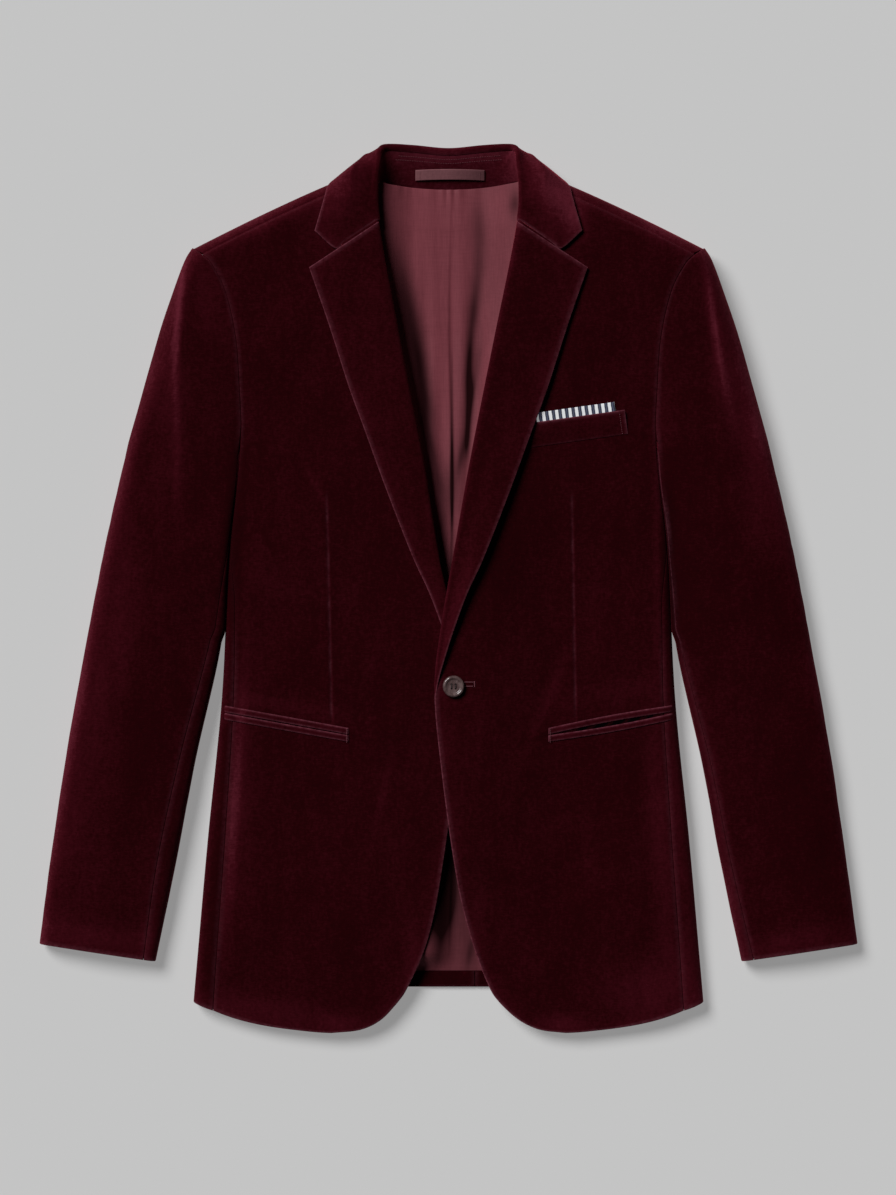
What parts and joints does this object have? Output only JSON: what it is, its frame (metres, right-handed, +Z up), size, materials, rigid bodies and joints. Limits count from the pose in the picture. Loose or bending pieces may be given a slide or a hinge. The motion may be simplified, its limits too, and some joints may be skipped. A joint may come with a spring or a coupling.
{
  "type": "velvet blazer",
  "caption": "Single-breasted velvet blazer with peak lapels, jetted hip pockets, breast welt and satin back lining, lying flat on its back with hollow body and sleeves.",
  "frame": {"origin": "middle of the jacket's outline in plan, on the surface it lies on", "axes": "+Z up from the surface, +Y from the hem towards the collar, +X towards the wearer's left"},
  "size_m": [0.755, 0.8186, 0.0465],
  "materials": {
    "velvet": "deep burgundy cotton velvet with a short nap and a soft sheen",
    "lining": "dusky mauve satin lining",
    "striped_cotton": "white cotton with narrow navy stripes",
    "button": "polished horn-like brown"
  },
  "bodies": {
    "root": {"back_hem_left": "velvet", "back_hem_right": "velvet", "back_left": "velvet", "back_lining": "lining", "back_right": "velvet", "breast_welt": "velvet", "button": "button", "collar_fall": "velvet", "collar_stand": "velvet", "front_left": "velvet", "front_right": "velvet", "hanger_loop": "lining", "jet_lower_left": "velvet", "jet_lower_right": "velvet", "jet_upper_left": "velvet", "jet_upper_right": "velvet", "lapel_left": "velvet", "lapel_right": "velvet", "pocket_insert": "striped_cotton", "side_panel_left": "velvet", "side_panel_right": "velvet", "top_sleeve_left": "velvet", "top_sleeve_right": "velvet", "under_sleeve_left": "velvet", "under_sleeve_right": "velvet"}
  },
  "joints": []
}
